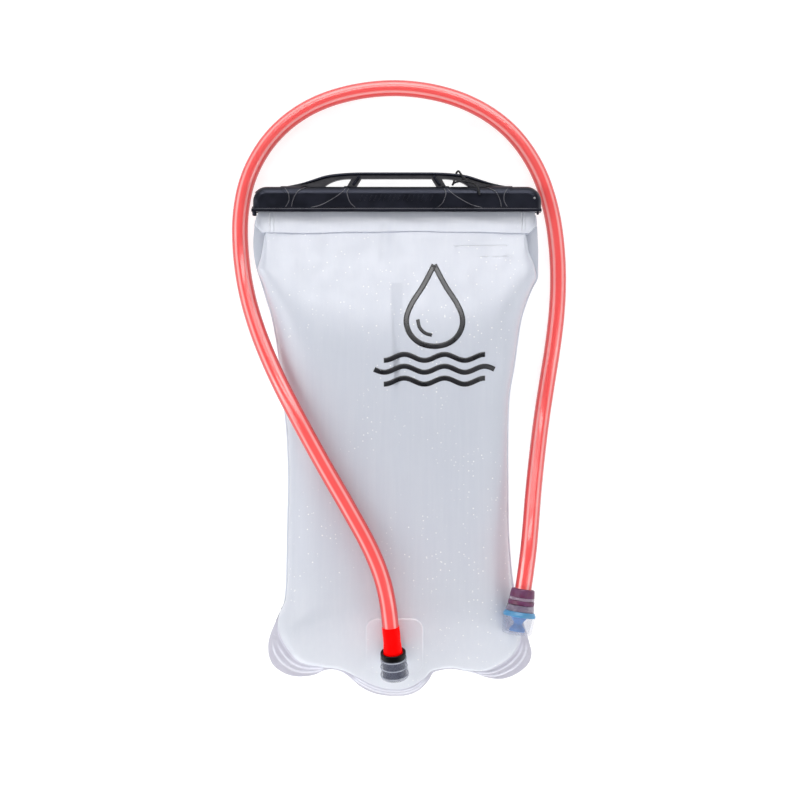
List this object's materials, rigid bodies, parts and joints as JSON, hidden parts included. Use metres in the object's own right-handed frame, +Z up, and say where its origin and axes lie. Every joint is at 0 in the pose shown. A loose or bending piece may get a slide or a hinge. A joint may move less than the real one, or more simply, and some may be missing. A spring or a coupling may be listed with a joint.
{
  "type": "hydration bladder",
  "caption": "Soft two-litre drinking-water bag with a slide-off mouth closure and handle, a pull-out outlet plug with check valve, a drink tube and a twisting bite valve.",
  "frame": {"origin": "on the surface the bag lies on, under the middle of the box of the bag and its closure", "axes": "+X across the bag, +Y along the bag towards the closure, +Z up, out of the bag's front"},
  "size_m": [0.2166, 0.3968, 0.0633],
  "materials": {
    "film": "translucent satin film",
    "flange_film": "moulded translucent",
    "rail_plastic": "extruded",
    "closure_plastic": "moulded satin",
    "cord_fabric": "braided",
    "smoke_plastic": "moulded, translucent smoke grey",
    "valve_plastic": "moulded",
    "spring_steel": "drawn wire",
    "seal_rubber": "matt",
    "black_plastic": "moulded",
    "tube_red": "extruded translucent",
    "purple_plastic": "moulded",
    "blue_plastic": "moulded",
    "clear_silicone": "moulded, clear"
  },
  "bodies": {
    "bag": {"front_panel": "film", "rear_panel": "film", "left_gusset": "film", "right_gusset": "film", "bottom_gusset": "film", "mouth_fold": "film", "mouth_rail_front": "rail_plastic", "mouth_rail_rear": "rail_plastic", "port_flange": "flange_film", "port_body": "smoke_plastic", "latch_ring": "spring_steel", "valve_seat": "seal_rubber", "check_spring": "spring_steel"},
    "closure": {"slider_channel": "closure_plastic", "slider_handle": "closure_plastic", "tether_cord": "cord_fabric", "tether_knot": "cord_fabric"},
    "drink_line": {"plug_body": "black_plastic", "plug_collar": "black_plastic", "plug_oring": "seal_rubber", "drink_tube": "tube_red", "valve_body": "purple_plastic", "valve_band": "clear_silicone", "stem_oring": "seal_rubber"},
    "valve_head": {"twist_collar": "clear_silicone", "twist_ring": "blue_plastic", "valve_core": "blue_plastic", "bite_sheath": "clear_silicone"},
    "check_poppet": {"check_valve_poppet": "valve_plastic"}
  },
  "joints": [
    {"name": "slider_slide", "type": "slide", "parent": "bag", "child": "closure", "axis": [1, 0, 0], "range_m": [0, 0.186]},
    {"name": "plug_pull", "type": "slide", "parent": "bag", "child": "drink_line", "axis": [-0.07, 0.9248, 0.3738], "range_m": [0, 0.012]},
    {"name": "poppet_rise", "type": "slide", "parent": "bag", "child": "check_poppet", "axis": [-0.07, 0.9248, 0.3738], "range_m": [0, 0.0017]},
    {"name": "valve_twist", "type": "hinge", "parent": "drink_line", "child": "valve_head", "pos_m": [0.0799, -0.0968, 0.0474], "axis": [-0.1487, -0.9889, 0], "range_deg": [0, 90]}
  ],
  "couplings": [
    {"joint": "poppet_rise", "follows": "plug_pull", "ratio": 0.14167}
  ]
}
